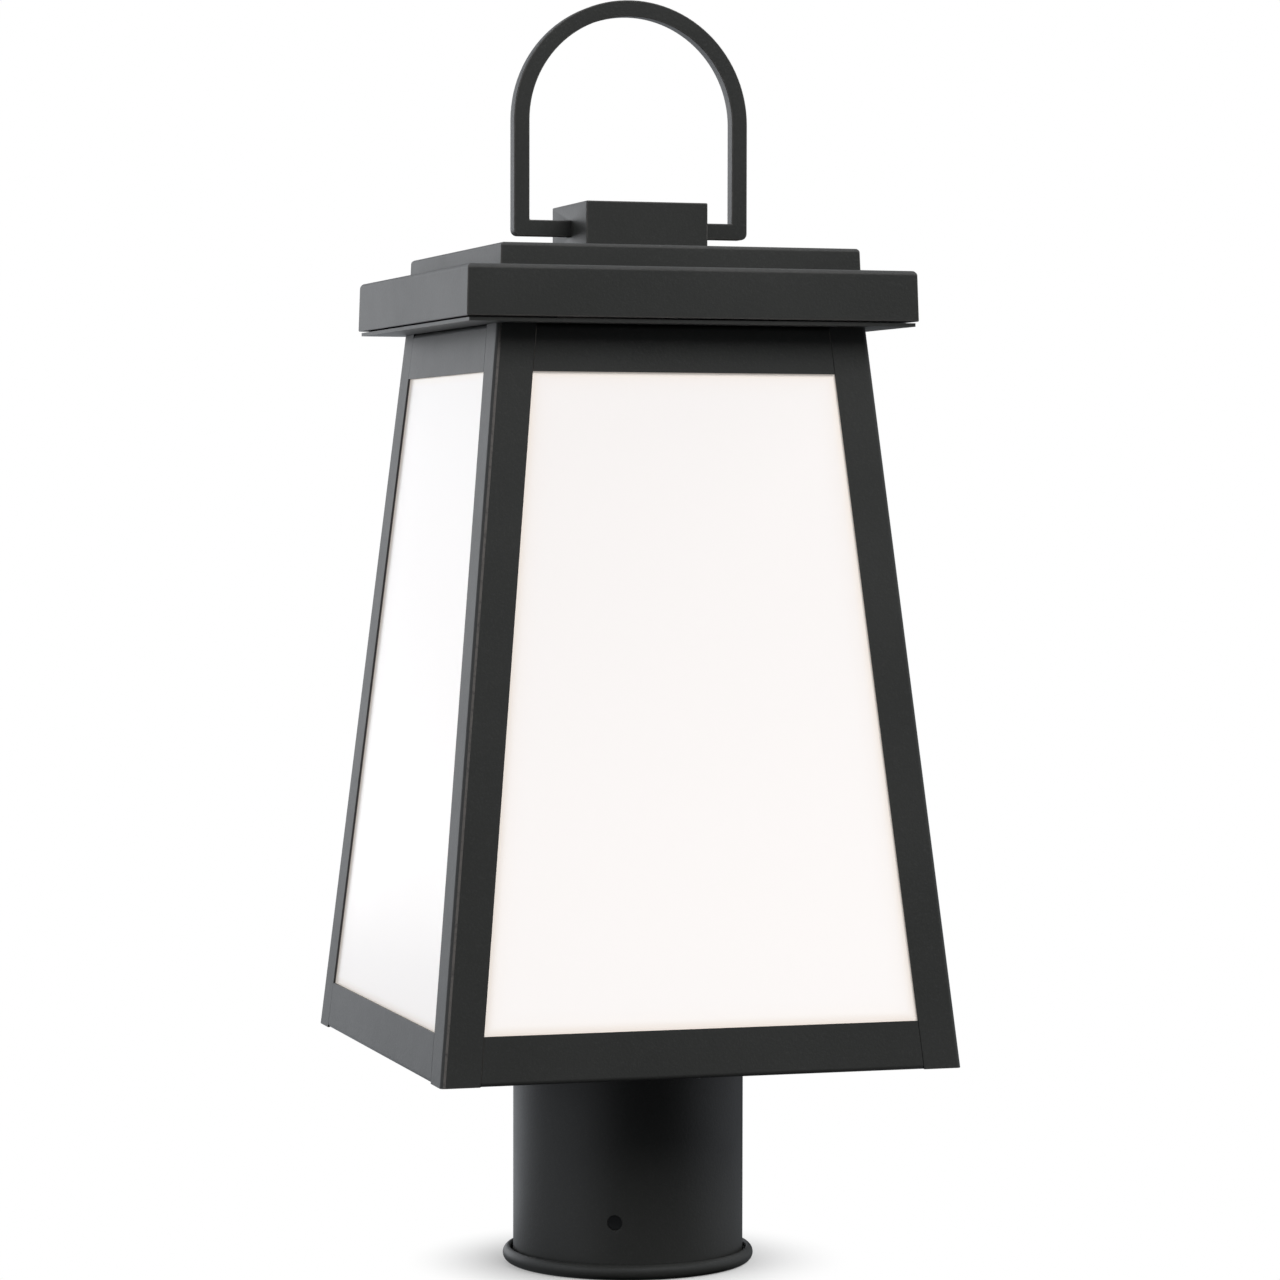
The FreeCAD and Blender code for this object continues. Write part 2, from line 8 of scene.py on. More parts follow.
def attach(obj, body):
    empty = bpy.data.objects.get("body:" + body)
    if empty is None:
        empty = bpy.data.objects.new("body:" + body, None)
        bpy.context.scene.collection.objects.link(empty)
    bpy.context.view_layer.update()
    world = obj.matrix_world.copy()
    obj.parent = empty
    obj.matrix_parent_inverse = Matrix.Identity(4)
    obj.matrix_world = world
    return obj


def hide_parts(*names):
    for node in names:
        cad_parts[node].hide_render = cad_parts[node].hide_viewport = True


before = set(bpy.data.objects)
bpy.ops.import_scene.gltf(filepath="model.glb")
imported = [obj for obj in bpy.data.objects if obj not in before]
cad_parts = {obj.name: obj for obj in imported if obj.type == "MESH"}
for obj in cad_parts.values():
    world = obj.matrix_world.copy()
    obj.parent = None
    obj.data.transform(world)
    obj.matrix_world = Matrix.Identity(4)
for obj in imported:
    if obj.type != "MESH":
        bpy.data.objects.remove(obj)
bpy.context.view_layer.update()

# Sizes in millimetres, the same as the solids have. -Y is the front, +Z is up.
# Half widths and offsets are level; a sheet that leans is SLANT times thicker on the level.

# Cage
CAGE_LOW, CAGE_TOP = 76.0, 327.0
HALF_LOW, HALF_TOP = 90.9, 65.0
LEAN = (HALF_LOW - HALF_TOP) / (CAGE_TOP - CAGE_LOW)
SLANT = math.hypot(1.0, LEAN)
POST_LEG = 13.5
SHEET = 0.8
SHEET_PLAN = SHEET * SLANT
BEND = 1.6
RAIL_LOW, RAIL_LOW_UP = 76.0, 92.4
RAIL_TOP_DOWN = 311.0
FLANGE = 16.0
MITRE_PLAY = 1.2
SEAM_PLAY = 0.15

# Glass, and the clips and plates beside it
GLASS_AIR = 0.2
GLASS_SIDE_AIR = 1.0
GLASS_THICK = 3.0
GLASS_LOW, GLASS_HIGH = 77.2, 325.2
GLASS_OFF = SHEET_PLAN + GLASS_AIR
GLASS_BACK = GLASS_OFF + GLASS_THICK * SLANT
CLIP_THICK, CLIP_FOOT = 1.0, 10.5
CLIP_SCREW_OFF = GLASS_BACK + GLASS_AIR + 0.57 * CLIP_FOOT
PAN_HIGH = 78.3
PAN_AIR = 1.5

# Sleeve
SLEEVE_IN, SLEEVE_OUT, SLEEVE_HIGH = 38.55, 40.5, 76.8
CURL_RAD, CURL_END = 2.8, 58.0
POST_STOP, POST_STOP_HIGH = 2.5, 70.0
SLEEVE_FLANGE, SLEEVE_FLANGE_THICK = 12.5, 1.5
SET_HOLE_RAD, SET_HOLE_HIGH, SET_HOLE_TURN = 2.55, 19.5, 7.0
SLEEVE_BOLT_CIRCLE = 31.0

# Roof and loop
SKIRT_LOW, SKIRT_HIGH, STEP_HIGH, BLOCK_HIGH = 328.7, 345.9, 353.9, 371.1
SKIRT_HALF, STEP_HALF, BLOCK_HALF = 79.0, 63.5, 21.9
SKIRT_FLARE, STEP_FLARE = 0.5, 0.3
SKIRT_ROUND, STEP_ROUND = 1.6, 1.2
ROOF_SHEET = 1.2
ROOF_SCREW_OUT = 6.2
LOOP_OUT, LOOP_BAR, LOOP_TOP, LOOP_FOOT = 42.5, 5.6, 442.5, 13.9
BAR_MID = 362.5
BLOCK_BOLT_PLACE, BLOCK_BOLT_GRIP = 12.0, 9.0

# Lamp
STEM_LOW, STEM_HIGH = 70.4, 100.9
CUP_LOW, CUP_FLOOR, BODY_HIGH = 94.3, 95.5, 145.5
STEM_NUT_FLATS = 14.0
SHELL_LOW, SHELL_HIGH = 109.5, 139.5
BASE_LOW, BASE_HIGH = 116.5, 140.5
LAMP_PITCH = 3.63

SAME_PLACE = 0.01       # points closer than this are taken as one
EDGE_RUB = 0.25         # wear on an edge that is only broken
SHADED_CUT_END = -1.0          # marks the posts' cut edges for painted shade, near black


def half(z):
    """Half width over the corner posts at height z."""
    return HALF_LOW - (HALF_LOW - HALF_TOP) * (z - CAGE_LOW) / (CAGE_TOP - CAGE_LOW)


# ---------------------------------------------------------------- materials

class Value:
    """A number socket; arithmetic on it adds Math nodes."""

    def __init__(self, finish, socket):
        self.finish, self.socket = finish, socket

    def run(self, operation, *others):
        return self.finish.add("ShaderNodeMath", {"operation": operation},
                               dict(enumerate((self,) + others)))

    def __add__(self, other):
        return self.run("ADD", other)

    def __sub__(self, other):
        return self.run("SUBTRACT", other)

    def __mul__(self, other):
        return self.run("MULTIPLY", other)

    def __rsub__(self, other):
        return self.finish.add("ShaderNodeMath", {"operation": "SUBTRACT"}, {0: other, 1: self})

    __radd__, __rmul__ = __add__, __mul__

    def span(self, low, high):
        """0 at low, 1 at high, smooth in between."""
        return self.finish.add("ShaderNodeMapRange", {"interpolation_type": "SMOOTHSTEP"},
                               {0: self, 1: low, 2: high})


class Finish:
    """A material or the world, with its shader nodes."""

    def __init__(self, name, owner=None, **constants):
        self.owner = owner or bpy.data.materials.new(name)
        self.owner.use_nodes = True
        self.tree = self.owner.node_tree
        self.shader = self.tree.nodes.get("Principled BSDF")
        for key, value in constants.items():
            self.shader.inputs[key.replace("_", " ")].default_value = value

    def feed(self, socket, value):
        """Link a Value to the socket, or set a constant; colours may leave out their alpha."""
        if isinstance(value, Value):
            self.tree.links.new(value.socket, socket)
        elif isinstance(value, tuple) and len(value) == 3 and len(socket.default_value) == 4:
            socket.default_value = value + (1.0,)
        else:
            socket.default_value = value

    def add(self, kind, settings=None, sockets=None, out=0):
        node = self.tree.nodes.new(kind)
        for key, value in (settings or {}).items():
            setattr(node, key, value)
        for key, value in (sockets or {}).items():
            self.feed(node.inputs[key], value)
        return Value(self, node.outputs[out])

    def place(self):
        """Position on the object, in metres."""
        return self.add("ShaderNodeTexCoord", out="Object")

    def noise(self, where, scale, detail=2.0, rough=0.5):
        return self.add("ShaderNodeTexNoise", {}, {"Vector": where, "Scale": scale,
                        "Detail": detail, "Roughness": rough}, out=0)

    def mix(self, share, first, second):
        return self.add("ShaderNodeMix", {"data_type": "RGBA"},
                        {0: share, 6: first, 7: second}, out=2)

    def bump(self, height, strength, reach):
        return self.add("ShaderNodeBump", {}, {"Strength": strength, "Distance": reach,
                                               "Height": height})

    def split(self, vector):
        """The three parts of a vector."""
        parts = self.tree.nodes.new("ShaderNodeSeparateXYZ")
        self.feed(parts.inputs[0], vector)
        return [Value(self, out) for out in parts.outputs]

    def ray(self, kind):
        """1 for rays of that kind, 0 for the others."""
        path = self.tree.nodes.get("Light Path") or self.tree.nodes.new("ShaderNodeLightPath")
        return Value(self, path.outputs["Is %s Ray" % kind])

    def set(self, **values):
        for key, value in values.items():
            self.feed(self.shader.inputs[key.replace("_", " ")], value)
        return self.owner


def powder_coat():
    """Satin black powder coat: fine orange peel, slightly rubbed along the edges, with painted
    shade on the posts' cut edges.
    """
    f = Finish("black_powder_coat", IOR=1.85)
    at = f.place()
    cloud = f.noise(at, 14.0, 3.0)
    peel = f.noise(at, 900.0, 2.0)
    grit = f.noise(at, 1700.0, 2.0)
    rub_and_shade = f.add("ShaderNodeAttribute", {"attribute_name": "edge_wear"}, out="Fac")
    # painted shade: faces marked below 0, the posts' cut edges, turn near black like a shadow gap
    cut_end_shade = (0.0 - rub_and_shade).run("MAXIMUM", 0.0)
    rub_and_shade = rub_and_shade * f.noise(at, 520.0, 4.0, 0.7).span(0.2, 0.55)
    coat = f.mix(cloud.span(0.35, 0.7), (0.0295, 0.0305, 0.0285), (0.0345, 0.0355, 0.0335))
    coat = f.mix(grit.span(0.5, 0.75) * 0.4, coat, (0.061, 0.062, 0.060))
    colour = f.mix(rub_and_shade, coat, (0.17, 0.155, 0.147))
    # the painted shade on the cut edges, near black
    colour = f.mix(cut_end_shade, colour, (0.002, 0.002, 0.002))
    rough = 0.435 + cloud * 0.06 + peel * 0.05 + f.noise(at, 110.0, 3.0) * 0.04
    height = peel * 0.7 + grit * 0.3
    return f.set(Base_Color=colour, Roughness=rough, Normal=f.bump(height, 0.5, 0.00014))


def opal_glass():
    """Opal white glass with a satin face, with painted warm shade along the frame.

    gap is the distance in metres from the edge of the opening that the frame leaves. The glow
    is painted light for the light inside the glass, stronger low down and faint on the inner
    faces.
    """
    # painted light: the glass glows though it is no lamp
    f = Finish("opal_glass", IOR=1.5, Emission_Strength=0.445)
    at = f.place()
    x, y, z = f.split(at)
    side = x.run("ABSOLUTE").run("MINIMUM", y.run("ABSOLUTE"))
    open_half = (HALF_LOW - POST_LEG + LEAN * CAGE_LOW) / 1000.0 - z * LEAN
    gap = (open_half - side).run("MINIMUM", RAIL_TOP_DOWN / 1000.0 - z)
    gap = gap.run("MINIMUM", z - RAIL_LOW_UP / 1000.0)
    # frame tint mask: 1 at the frame, fading out 3.5 mm in; it paints warm shade into the colour
    # and a warm tint into the glow
    painted_frame_tint = 1.0 - gap.span(-0.0005, 0.0035)
    cloud = f.noise(at, 9.0, 2.0)
    colour = f.mix(cloud * 0.25, (0.90, 0.868, 0.858), (0.885, 0.85, 0.836))
    # painted shade: a warmer, darker colour along the frame, a faint part of it reaching 9 mm in
    colour = f.mix(painted_frame_tint * 0.6 + (1.0 - gap.span(0.0, 0.009)) * 0.3, colour, (0.88, 0.79, 0.71))
    # painted light: the glow is stronger low on the pane than at its top
    glow = f.mix(z.span(0.08, 0.31), (0.93, 0.905, 0.89), (0.68, 0.661, 0.652))
    # painted warm glow along the frame
    glow = f.mix(painted_frame_tint, glow, (0.70, 0.65, 0.60))
    outside = f.add("ShaderNodeAttribute", {"attribute_name": "outside"}, out="Fac")
    glow = f.mix(outside, (0.18, 0.175, 0.172), glow)
    ripple = f.noise(at, 45.0, 1.0)
    return f.set(Base_Color=colour, Emission_Color=glow,
                 Roughness=0.20 + cloud * 0.06, Normal=f.bump(ripple, 0.08, 0.0003))


def worked_finish(name, light, dark, rough, metal=0.0, patch=60.0, grain=900.0, relief=0.15,
                  coat=0.0, stretch=(1.0, 1.0, 1.0)):
    """Small parts: two close tones in patches, a fine grain and its relief."""
    f = Finish(name, Metallic=metal, Coat_Weight=coat)
    at = f.add("ShaderNodeMapping", {}, {"Vector": f.place(), "Scale": stretch})
    cloud, fine = f.noise(at, patch, 3.0), f.noise(at, grain, 2.0)
    colour = f.mix(cloud.span(0.35, 0.68), dark, light)
    edge = f.add("ShaderNodeAttribute", {"attribute_name": "edge_wear"}, out="Fac")
    colour = f.mix(edge * 0.3, colour, tuple(min(1.0, c * 1.25) for c in light))
    return f.set(Base_Color=colour, Roughness=rough + cloud * 0.1 + fine * 0.06,
                 Normal=f.bump(fine, relief, 0.00005))


coat_black = powder_coat()
glass_opal = opal_glass()
zinc = worked_finish("zinc_plated_steel", (0.68, 0.70, 0.72), (0.52, 0.54, 0.55), 0.26, 1.0)
oxide = worked_finish("black_oxide", (0.035, 0.035, 0.036), (0.015, 0.015, 0.016), 0.34)
enamel = worked_finish("white_enamel", (0.82, 0.81, 0.77), (0.74, 0.73, 0.69), 0.22, coat=0.3)
porcelain = worked_finish("glazed_porcelain", (0.87, 0.86, 0.82), (0.80, 0.79, 0.745), 0.10,
                          patch=25.0, relief=0.05, coat=0.6)
brass = worked_finish("pressed_brass", (0.82, 0.64, 0.32), (0.62, 0.46, 0.20), 0.24, 1.0)
nickel = worked_finish("cap_nickel", (0.74, 0.73, 0.71), (0.60, 0.59, 0.57), 0.24, 1.0)
soft_white = worked_finish("soft_white_bulb", (0.93, 0.92, 0.89), (0.88, 0.87, 0.835), 0.28,
                           patch=20.0, relief=0.04)
green = worked_finish("green_lacquer", (0.06, 0.33, 0.12), (0.03, 0.20, 0.07), 0.3, coat=0.3)


# ---------------------------------------------------------------- modelling

def new_mesh(mesh=None):
    """Empty mesh in millimetres, or one with what a mesh in metres has."""
    bm = bmesh.new()
    bm.faces.layers.float.new("edge_wear")
    if mesh:
        bm.from_mesh(mesh)
        bmesh.ops.scale(bm, verts=bm.verts, vec=(1000, 1000, 1000))
    return bm


def verts_of(result, key="geom"):
    return [g for g in result[key] if isinstance(g, bmesh.types.BMVert)]


def mark_wear_and_shade(bm, faces, amount):
    """Mark faces as rubbed, from 0 to 1; a negative amount marks them for painted shade."""
    layer = bm.faces.layers.float["edge_wear"]
    for face in faces:
        face[layer] = amount


def round_edges(bm, edges, size, segments):
    """Round the edges and give the new faces back."""
    return bmesh.ops.bevel(bm, geom=edges, offset=size, offset_type="OFFSET", segments=segments,
                           profile=0.5, affect="EDGES", material=-1, clamp_overlap=True)["faces"]


def soften(bm, size, angle=32.0):
    """Break every sharp edge, and mark what is broken as rubbed."""
    limit = math.radians(angle)
    edges = [e for e in bm.edges if len(e.link_faces) == 2 and e.calc_face_angle(0.0) > limit]
    mark_wear_and_shade(bm, round_edges(bm, edges, size, 2), EDGE_RUB)


def push(bm, face, way):
    """Extrude one face along way and give the new face back."""
    result = bmesh.ops.extrude_face_region(bm, geom=[face])
    bmesh.ops.translate(bm, verts=verts_of(result), vec=way)
    if face.is_valid and all(len(e.link_faces) > 2 for e in face.edges):
        bmesh.ops.delete(bm, geom=[face], context="FACES_ONLY")
    return next(g for g in result["geom"] if isinstance(g, bmesh.types.BMFace))


def flat_face(bm, points):
    """New face through new corners."""
    return bm.faces.new([bm.verts.new(p) for p in points])


def trim(bm, point, away):
    """Cut off what lies beyond the plane, and close the cut."""
    cut = bmesh.ops.bisect_plane(bm, geom=bm.verts[:] + bm.edges[:] + bm.faces[:],
                                 plane_co=point, plane_no=away, clear_outer=True)
    bmesh.ops.holes_fill(bm, edges=[g for g in cut["geom_cut"]
                                    if isinstance(g, bmesh.types.BMEdge)])


def turn(bm, degrees, axis=(0, 0, 1)):
    """Turn the whole mesh round an axis through the origin."""
    bmesh.ops.rotate(bm, verts=bm.verts, cent=(0, 0, 0),
                     matrix=Matrix.Rotation(math.radians(degrees), 3, Vector(axis)))


def as_mesh(bm, name):
    """Tidy a mesh made in millimetres and turn it into one in metres."""
    bmesh.ops.remove_doubles(bm, verts=bm.verts, dist=0.0004)
    bmesh.ops.recalc_face_normals(bm, faces=bm.faces)
    bmesh.ops.scale(bm, verts=bm.verts, vec=(0.001, 0.001, 0.001))
    for face in bm.faces:
        face.smooth = True
    mesh = bpy.data.meshes.new(name)
    bm.to_mesh(mesh)
    bm.free()
    return mesh


def piece(name, mesh, body, slot, material, *nodes):
    """Show a mesh as a piece of a body, in place of the named solids."""
    mesh.materials.clear()
    mesh.materials.append(material)
    obj = bpy.data.objects.new(name, mesh)
    bpy.context.scene.collection.objects.link(obj)
    normals = obj.modifiers.new("normals", "WEIGHTED_NORMAL")
    normals.weight, normals.keep_sharp = 60, True
    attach(obj, body)
    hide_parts(*nodes)
    return obj


def carve(mesh, *cutters):
    """Cut the cutters' meshes out of a mesh."""
    scene = bpy.context.scene
    body = bpy.data.objects.new("carved", mesh)
    tools = [bpy.data.objects.new("cutter", cutter) for cutter in cutters]
    for obj in [body] + tools:
        scene.collection.objects.link(obj)
    for tool in tools:
        cut = body.modifiers.new("cut", "BOOLEAN")
        cut.operation, cut.solver, cut.object = "DIFFERENCE", "EXACT", tool
    bpy.context.view_layer.update()
    done = bpy.data.meshes.new_from_object(body.evaluated_get(
        bpy.context.evaluated_depsgraph_get()))
    for obj in [body] + tools:
        bpy.data.objects.remove(obj)
    return done


def copies(mesh, places, name):
    """One mesh with a copy of the given one at each place, a matrix in metres."""
    bm = bmesh.new()
    for place in places:
        before = len(bm.verts)
        bm.from_mesh(mesh)
        bm.verts.ensure_lookup_table()
        bmesh.ops.transform(bm, verts=bm.verts[before:], matrix=place)
    out = bpy.data.meshes.new(name)
    bm.to_mesh(out)
    bm.free()
    return out


def at(x, y, z, flip=False):
    """Place, in metres, for a mesh made at the origin; flip turns it upside down."""
    place = Matrix.Translation(Vector((x, y, z)) / 1000.0)
    return place @ Matrix.Rotation(math.pi, 4, "X") if flip else place


def refined(node, size):
    """A solid's own mesh, its loose triangles merged and its sharp edges broken."""
    bm = new_mesh(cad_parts[node].data)
    bmesh.ops.remove_doubles(bm, verts=bm.verts, dist=0.002)
    bmesh.ops.dissolve_limit(bm, angle_limit=math.radians(0.8), verts=bm.verts, edges=bm.edges)
    soften(bm, size, 25.0)
    return as_mesh(bm, node + "_refined")


class Profile:
    """A pen that draws a half section in the XZ plane, to be spun round the Z axis."""

    def __init__(self, x, z):
        self.bm = new_mesh()
        self.tip = self.first = self.bm.verts.new((x, 0, z))

    def to(self, x, z, parts=1):
        """Straight on to a point, in equal parts."""
        start = self.tip.co.copy()
        for k in range(parts):
            made = bmesh.ops.extrude_vert_indiv(self.bm, verts=[self.tip])
            self.tip = made["verts"][0]
            self.tip.co = start.lerp(Vector((x, 0, z)), (k + 1) / parts)
        return self

    def arc(self, cx, cz, angle, steps):
        """Round a centre, from +X towards +Z where the angle is above 0."""
        made = bmesh.ops.spin(self.bm, geom=[self.tip], cent=(cx, 0, cz), axis=(0, -1, 0),
                              angle=math.radians(angle), steps=steps)
        self.tip = verts_of(made, "geom_last")[0]
        return self

    def close(self):
        """Back to the first point."""
        self.bm.edges.new((self.tip, self.first))
        return self

    def spun(self, steps):
        """The body that the section makes round the Z axis."""
        bm = self.bm
        bmesh.ops.remove_doubles(bm, verts=bm.verts, dist=0.0005)
        bmesh.ops.spin(bm, geom=bm.verts[:] + bm.edges[:], cent=(0, 0, 0), axis=(0, 0, 1),
                       angle=2.0 * math.pi, steps=steps, use_merge=True)
        bmesh.ops.remove_doubles(bm, verts=bm.verts, dist=0.0005)
        bmesh.ops.recalc_face_normals(bm, faces=bm.faces)
        return bm


def thread(bm, low, high, pitch, depth, least=0.0, fade=1.0):
    """Press a right handed round thread into the walls between two heights."""
    for vert in bm.verts:
        x, y, z = vert.co
        radius = math.hypot(x, y)
        if radius < least or not low <= z <= high:
            continue
        wave = 0.5 + 0.5 * math.cos(2.0 * math.pi * z / pitch - math.atan2(y, x))
        ease = min(1.0, (z - low) / fade, (high - z) / fade)
        shift = 1.0 - depth * wave * ease / radius
        vert.co = (x * shift, y * shift, z)


# ---------------------------------------------------------------- cage

def corner_post(quarter, name):
    """Bent angle strip that follows the lean of two faces."""
    bm = new_mesh()
    a, b, s, broken = HALF_LOW, HALF_LOW - POST_LEG, SHEET_PLAN, 0.12
    foot = flat_face(bm, [(a, b, CAGE_LOW), (a, a, CAGE_LOW), (b, a, CAGE_LOW),
                          (b, a - s, CAGE_LOW), (a - s, a - s, CAGE_LOW), (a - s, b, CAGE_LOW)])
    run = HALF_LOW - HALF_TOP
    push(bm, foot, (-run, -run, CAGE_TOP - CAGE_LOW))
    for depth, size in ((0.0, BEND), (s, BEND - SHEET)):
        fold = [e for e in bm.edges if abs(e.verts[0].co.z - e.verts[1].co.z) > 10.0
                and abs(e.verts[0].co.x - e.verts[0].co.y) < SAME_PLACE
                and abs(half(e.verts[0].co.z) - depth - e.verts[0].co.x) < SAME_PLACE]
        bent = round_edges(bm, fold, size, 6)
        bm.normal_update()
        if depth == 0.0:
            mark_wear_and_shade(bm, [f for f in bent if abs(f.normal.y) - abs(f.normal.x) > 0.3], 0.7)
    soften(bm, broken, 40.0)
    # painted shade: the legs' cut edges are marked to render near black like a shadow gap
    for face in bm.faces:
        leg_ends = [half(v.co.z) - POST_LEG for v in face.verts]
        if all(min(abs(end - v.co.x), abs(end - v.co.y)) < broken + SAME_PLACE
               for end, v in zip(leg_ends, face.verts)):
            mark_wear_and_shade(bm, [face], SHADED_CUT_END)
    turn(bm, 90.0 * quarter)
    piece("post_" + name, as_mesh(bm, name), "cage", "black_powder_coat", coat_black,
          "corner_post_" + name)


def folded(path, thick):
    """Outline of a folded sheet that lies thick to the left of its path."""
    inner = []
    for i, p in enumerate(path):
        ways = [(b - a).normalized() for a, b in zip(path, path[1:])]
        d1, d2 = ways[max(i - 1, 0)], ways[min(i, len(ways) - 1)]
        share = thick / (1.0 + d1.dot(d2))
        inner.append(p + Vector((-d1.y - d2.y, d1.x + d2.x)) * share)
    return path + inner[::-1]


def beside_post(side):
    """What a front post fills, with the clearance that the rails keep from it."""
    bm = new_mesh()
    low, high, spare = CAGE_LOW - 10.0, CAGE_TOP + 10.0, 10.0
    out, edge = half(low) + spare, half(low) - POST_LEG - SEAM_PLAY
    back = half(low) - SHEET_PLAN - SEAM_PLAY
    foot = flat_face(bm, [(side * x, -y, low) for x, y in (
        (out, edge), (out, out), (edge, out), (edge, back), (back, back), (back, edge))])
    run = half(low) - half(high)
    push(bm, foot, (-side * run, run, high - low))
    return as_mesh(bm, "beside_post")


def rail(quarter, name, z_fold, z_edge):
    """Strip flush between the post legs, folded inwards at z_fold and mitred at its ends."""
    bm = new_mesh()
    outer, far = -half(z_fold), HALF_LOW + 20.0
    path = [Vector((outer + FLANGE, z_fold)), Vector((outer, z_fold)),
            Vector((-half(z_edge), z_edge))]
    section = folded(path, SHEET if z_edge < z_fold else -SHEET)
    end = flat_face(bm, [(-far, p.x, p.y) for p in section])
    push(bm, end, (2.0 * far, 0, 0))
    for corner, size in ((section[1], BEND), (section[4], BEND - SHEET)):
        fold = [e for e in bm.edges if all(math.dist((v.co.y, v.co.z), corner) < SAME_PLACE
                                           for v in e.verts)]
        round_edges(bm, fold, size, 5)
    for side in (-1.0, 1.0):
        trim(bm, (0, -MITRE_PLAY, 0), (side, 1.0, 0))
    cut = carve(as_mesh(bm, "rail"), beside_post(-1.0), beside_post(1.0))
    bm = new_mesh(cut)
    bmesh.ops.dissolve_limit(bm, angle_limit=math.radians(0.5), verts=bm.verts, edges=bm.edges)
    soften(bm, 0.1, 40.0)
    turn(bm, 90.0 * quarter)
    piece(name, as_mesh(bm, name), "cage", "black_powder_coat", coat_black,
          name.replace("strip", "rail"))


def pane(quarter, name):
    """Flat opal pane with ground edges, its outer face marked for the glow."""
    bm = new_mesh()
    outside = bm.faces.layers.float.new("outside")
    side = GLASS_BACK + GLASS_SIDE_AIR
    corners = [(x * (half(z) - side), -(half(z) - GLASS_OFF), z)
               for x, z in ((-1, GLASS_LOW), (1, GLASS_LOW), (1, GLASS_HIGH), (-1, GLASS_HIGH))]
    push(bm, flat_face(bm, corners), (0, GLASS_THICK * SLANT, 0))
    soften(bm, 0.4)
    bmesh.ops.recalc_face_normals(bm, faces=bm.faces)
    for face in bm.faces:
        face[outside] = 1.0 if face.normal.y < -0.6 else 0.0
    turn(bm, 90.0 * quarter)
    piece("pane_" + name, as_mesh(bm, name), "cage", "opal_glass", glass_opal, "glass_" + name)


for quarter, name in enumerate(("back_right", "back_left", "front_left", "front_right")):
    corner_post(quarter, name)
for quarter, name in enumerate(("front", "right", "back", "left")):
    rail(quarter, "bottom_strip_" + name, RAIL_LOW, RAIL_LOW_UP)
    rail(quarter, "top_strip_" + name, CAGE_TOP, RAIL_TOP_DOWN)
    pane(quarter, name)


def post_sleeve():
    """Spun sleeve: flange and shoulder at the top, open rolled rim at the foot."""
    cx, cz, inner = SLEEVE_IN + CURL_RAD, CURL_RAD, CURL_RAD - (SLEEVE_OUT - SLEEVE_IN)
    lip = 0.5 * (CURL_RAD + inner)
    end = math.radians(CURL_END)
    stop, mouth = SLEEVE_IN - POST_STOP, SLEEVE_IN - SLEEVE_FLANGE
    under, crown = SLEEVE_HIGH - SLEEVE_FLANGE_THICK, 2.0
    p = Profile(SLEEVE_IN, cz).to(SLEEVE_IN, POST_STOP_HIGH, 6).to(stop, POST_STOP_HIGH)
    p.to(stop, under).to(mouth, under).to(mouth, SLEEVE_HIGH)
    p.to(SLEEVE_OUT - crown, SLEEVE_HIGH)
    p.arc(SLEEVE_OUT - crown, SLEEVE_HIGH - crown, -90.0, 5).to(SLEEVE_OUT, cz, 6)
    p.arc(cx, cz, 180.0 + CURL_END, 18)
    p.arc(cx + lip * math.cos(end), cz + lip * math.sin(end), -180.0, 8)
    p.arc(cx, cz, -(180.0 + CURL_END), 30)
    bm = p.spun(160)
    edges = [e for e in bm.edges if len(e.link_faces) == 2 and e.calc_face_angle(0.0) > 1.2
             and e.verts[0].co.z > 60.0]
    round_edges(bm, edges, 0.3, 2)
    holes = []
    for k in range(3):
        start, skin, end, wide = 36.0, 40.05, 44.0, SET_HOLE_RAD + 0.4
        h = Profile(0, start).to(SET_HOLE_RAD, start).to(SET_HOLE_RAD, skin)
        cutter = h.to(wide, skin + 0.55).to(wide, end).to(0, end).spun(40)
        thread(cutter, start, skin + 0.05, 1.27, -0.3, 2.0, 0.3)
        turn(cutter, 90.0, (0, 1, 0))
        turn(cutter, SET_HOLE_TURN + 120.0 * k)
        bmesh.ops.translate(cutter, verts=cutter.verts, vec=(0, 0, SET_HOLE_HIGH))
        holes.append(as_mesh(cutter, "hole"))
    mesh = carve(as_mesh(bm, "sleeve"), *holes)
    piece("spun_sleeve", mesh, "cage", "black_powder_coat", coat_black, "post_sleeve")


post_sleeve()
for name, node, slot, material, size in (
        ("floor_pan", "bottom_pan", "black_powder_coat", coat_black, 0.3),
        ("eave_plate", "soffit_plate", "black_powder_coat", coat_black, 0.45),
        ("clips_low", "glass_clips_low", "zinc_plated_steel", zinc, 0.15),
        ("clips_top", "glass_clips_top", "zinc_plated_steel", zinc, 0.15),
        ("nuts_under_pan", "sleeve_nuts", "zinc_plated_steel", zinc, 0.4),
        ("nuts_on_stem", "stem_nuts", "zinc_plated_steel", zinc, 0.5),
        ("washers_on_stem", "stem_washers", "zinc_plated_steel", zinc, 0.15),
        ("spacer_on_stem", "stem_spacer", "white_holder_metal", enamel, 0.4)):
    piece(name, refined(node, size), "cage", slot, material, node)


# ---------------------------------------------------------------- roof

def frustum(half_a, low, half_b, high):
    """Square block with other half widths at its foot and its top."""
    bm = new_mesh()
    for vert in bmesh.ops.create_cube(bm, size=2.0)["verts"]:
        wide, z = (half_a, low) if vert.co.z < 0 else (half_b, high)
        vert.co = (vert.co.x * wide, vert.co.y * wide, z)
    return bm


